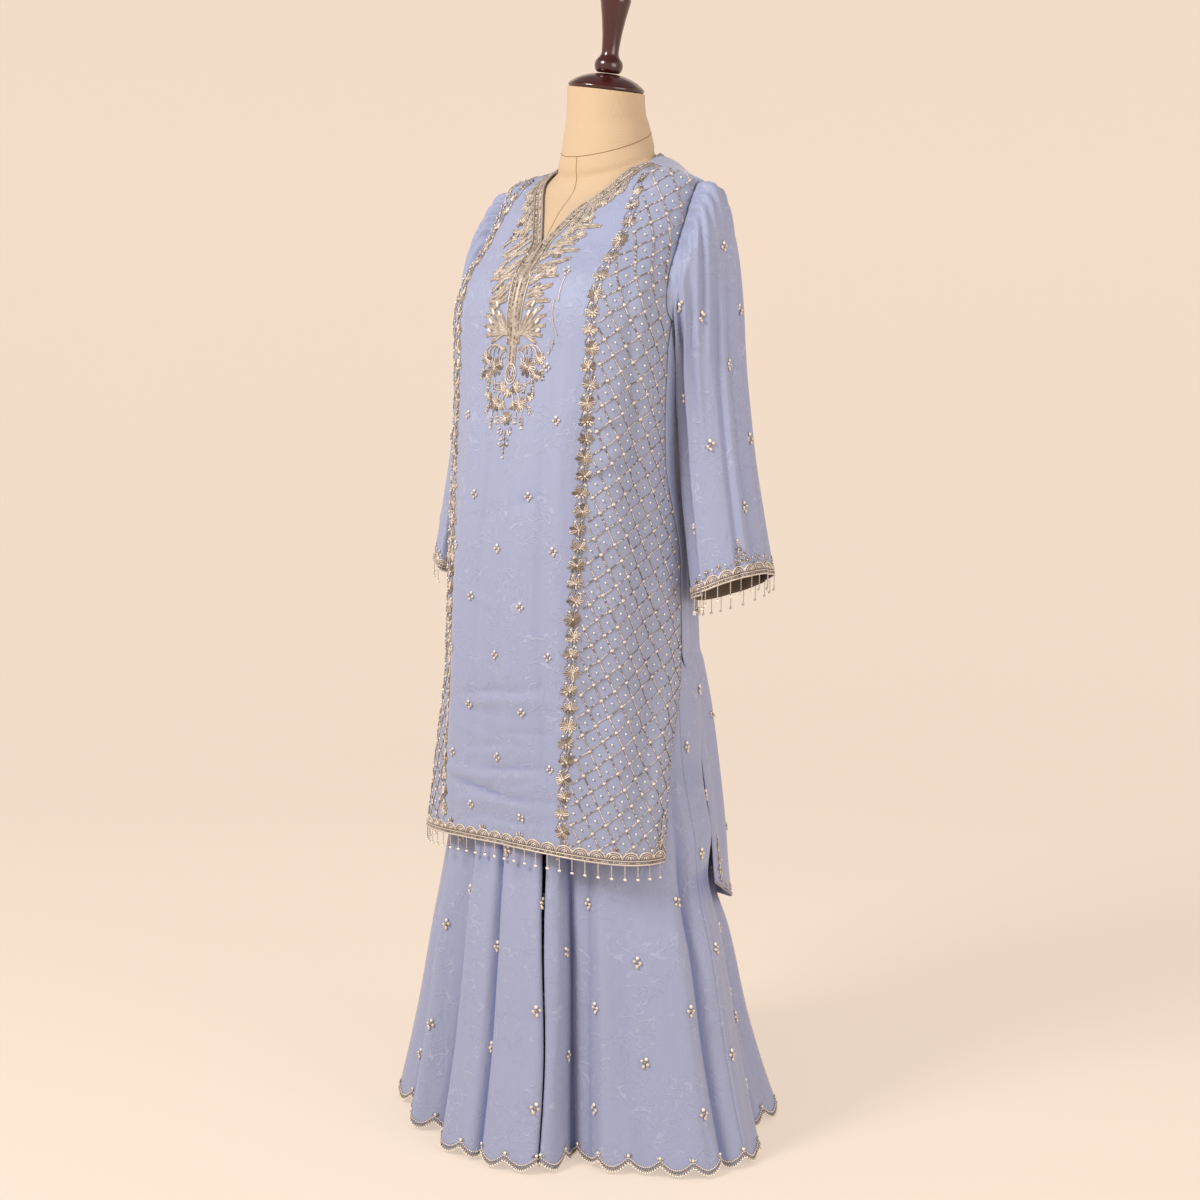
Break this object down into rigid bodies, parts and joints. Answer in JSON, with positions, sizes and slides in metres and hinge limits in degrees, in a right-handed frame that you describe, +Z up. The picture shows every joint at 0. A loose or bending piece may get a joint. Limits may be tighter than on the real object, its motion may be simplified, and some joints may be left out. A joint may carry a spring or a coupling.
{
  "type": "sharara suit on dress form",
  "caption": "Beaded V-neck kurta with flared sleeves over wide scalloped sharara trousers, hung on a limbless linen dress form.",
  "frame": {"origin": "centre of the stand's base, on the floor", "axes": "+Z up; the suit faces -Y and its left side is +X"},
  "size_m": [0.6146, 0.5064, 1.6719],
  "materials": {
    "blue_crepe": "powder blue crepe, matt, finely crinkled",
    "antique_beadwork": "antique silver-gold beads and cord on cloth",
    "linen": "natural plain-weave linen",
    "mahogany": "dark, high gloss",
    "stand_steel": "dark satin"
  },
  "bodies": {
    "root": {"kurta_front_centre": "blue_crepe", "kurta_front_side_left": "blue_crepe", "kurta_front_side_right": "blue_crepe", "kurta_back": "blue_crepe", "sleeve_left": "blue_crepe", "sleeve_right": "blue_crepe", "sharara_left_front": "blue_crepe", "sharara_left_back": "blue_crepe", "sharara_right_front": "blue_crepe", "sharara_right_back": "blue_crepe", "sharara_waistband": "blue_crepe", "floral_border_left": "antique_beadwork", "floral_border_right": "antique_beadwork", "neck_band_front": "antique_beadwork", "neck_band_back": "antique_beadwork", "hem_band_front": "antique_beadwork", "hem_band_back": "antique_beadwork", "hem_fringe_front": "antique_beadwork", "cuff_band_left": "antique_beadwork", "cuff_band_right": "antique_beadwork", "cuff_fringe_left": "antique_beadwork", "cuff_fringe_right": "antique_beadwork", "sharara_left_hem_edging": "antique_beadwork", "sharara_right_hem_edging": "antique_beadwork", "form_torso": "linen", "form_neck": "linen", "form_cap": "mahogany", "form_finial": "mahogany", "form_base": "stand_steel", "form_pole": "stand_steel"}
  },
  "joints": []
}
